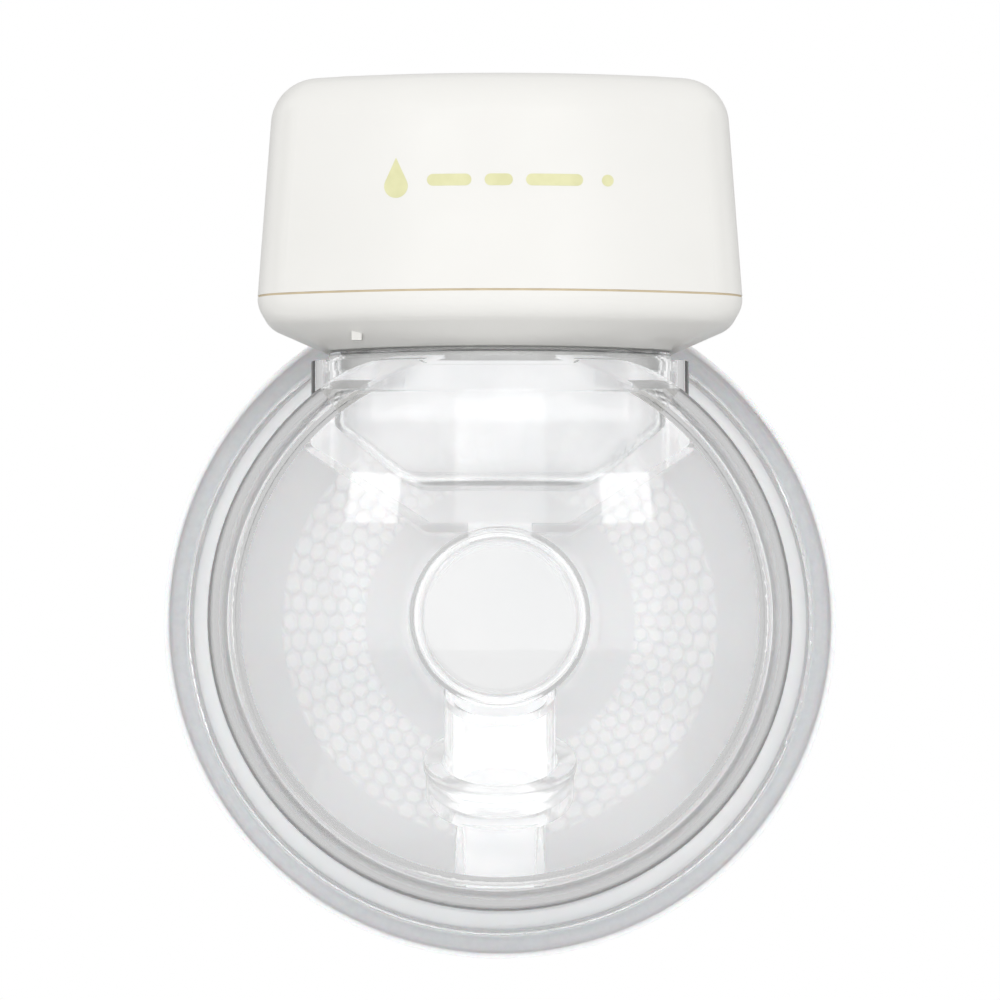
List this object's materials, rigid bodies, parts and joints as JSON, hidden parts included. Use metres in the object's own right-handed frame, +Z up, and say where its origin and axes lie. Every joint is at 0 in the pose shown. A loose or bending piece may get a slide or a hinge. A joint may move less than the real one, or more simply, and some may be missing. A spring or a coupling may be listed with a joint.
{
  "type": "breast pump",
  "caption": "Wearable breast pump with a rounded pump unit on a clear collector cup, a linker with a closed nipple tunnel, a duckbill valve and a soft silicone flange.",
  "frame": {"origin": "centre of the nipple tunnel's mouth, on the tunnel's axis", "axes": "+Y along the tunnel's axis towards the wearer, +Z up to the pump unit, +X to the right seen from the front"},
  "size_m": [0.112, 0.063, 0.1442],
  "materials": {
    "housing_white": "satin",
    "seam_beige": "satin",
    "clear_cup": "polished clear",
    "clear_linker": "satin clear",
    "milky_silicone": "satin translucent",
    "thin_silicone": "satin translucent",
    "white_rubber": "satin",
    "panel_gloss": "gloss",
    "lens_smoke": "gloss",
    "display_black": "matte",
    "key_white": "satin",
    "mat_grey": "matte",
    "board_green": "satin",
    "chip_black": "matte",
    "steel": "brushed",
    "cell_wrap": "satin",
    "foam_black": "matte",
    "lead_red": "satin",
    "pump_black": "satin",
    "pump_white": "satin",
    "brass": "machined",
    "tube_clear": "satin"
  },
  "bodies": {
    "flange": {"silicone_flange": "milky_silicone"},
    "linker_kit": {"linker": "clear_linker", "suction_diaphragm": "thin_silicone", "duckbill_valve": "thin_silicone"},
    "cup": {"milk_cup": "clear_cup"},
    "pump_unit": {"upper_housing": "housing_white", "lower_housing": "housing_white", "seam_gasket": "seam_beige", "housing_screws": "steel", "control_panel": "panel_gloss", "display_window": "lens_smoke", "keypad_mat": "mat_grey", "main_board": "board_green", "board_screws": "steel", "board_parts": "chip_black", "tact_switches": "chip_black", "display_module": "display_black", "usb_socket": "steel", "battery_cell": "cell_wrap", "battery_pad": "foam_black", "battery_leads": "lead_red", "pump_motor_can": "steel", "damping_sleeve": "foam_black", "pump_case": "pump_black", "cup_membrane": "foam_black", "valve_plate": "pump_white", "pump_head": "pump_black", "pump_screws": "steel", "vacuum_tubes": "tube_clear", "tube_tee": "pump_white", "release_valve_body": "pump_black", "release_spring": "steel"},
    "pump_rotor": {"motor_shaft": "steel", "eccentric_wheel": "brass", "crank_pin": "steel"},
    "pump_wobbler": {"wobble_plate": "pump_white"},
    "release_core": {"release_plunger": "steel"},
    "port_flap": {"port_cover": "white_rubber"},
    "power_key": {"power_button": "key_white"},
    "mode_key": {"mode_button": "key_white"},
    "minus_key": {"minus_button": "key_white"},
    "plus_key": {"plus_button": "key_white"}
  },
  "joints": [
    {"name": "flange_pull", "type": "slide", "parent": "flange", "child": "linker_kit", "axis": [0, -1, 0], "range_m": [0, 0.045]},
    {"name": "cup_pull", "type": "slide", "parent": "linker_kit", "child": "cup", "axis": [0, -1, 0], "range_m": [0, 0.06]},
    {"name": "pump_lift", "type": "slide", "parent": "linker_kit", "child": "pump_unit", "axis": [0, 0, 1], "range_m": [0, 0.03]},
    {"name": "power_press", "type": "slide", "parent": "pump_unit", "child": "power_key", "axis": [0, 0, -1], "range_m": [0, 0.0005], "stiffness_N_per_m": 600},
    {"name": "mode_press", "type": "slide", "parent": "pump_unit", "child": "mode_key", "axis": [0, 0, -1], "range_m": [0, 0.0005], "stiffness_N_per_m": 600},
    {"name": "minus_press", "type": "slide", "parent": "pump_unit", "child": "minus_key", "axis": [0, 0, -1], "range_m": [0, 0.0005], "stiffness_N_per_m": 600},
    {"name": "plus_press", "type": "slide", "parent": "pump_unit", "child": "plus_key", "axis": [0, 0, -1], "range_m": [0, 0.0005], "stiffness_N_per_m": 600},
    {"name": "port_cover_swing", "type": "hinge", "parent": "pump_unit", "child": "port_flap", "pos_m": [0.0362, -0.00095, 0.0805], "axis": [0, 0, 1], "range_deg": [0, 90]},
    {"name": "pump_turn", "type": "hinge", "parent": "pump_unit", "child": "pump_rotor", "pos_m": [0, -0.0156, 0.064], "axis": [1, 0, 0], "continuous": true},
    {"name": "wobble_nod", "type": "hinge", "parent": "pump_rotor", "child": "pump_wobbler", "pos_m": [0.01, -0.0156, 0.064], "axis": [0.9862, 0, -0.1659], "continuous": true},
    {"name": "release_pull", "type": "slide", "parent": "pump_unit", "child": "release_core", "axis": [0, 0, -1], "range_m": [0, 0.0012], "stiffness_N_per_m": 400, "springref_m": -0.0005, "deforming": ["release_spring"]}
  ],
  "couplings": [
    {"joint": "wobble_nod", "follows": "pump_turn", "ratio": -1}
  ]
}
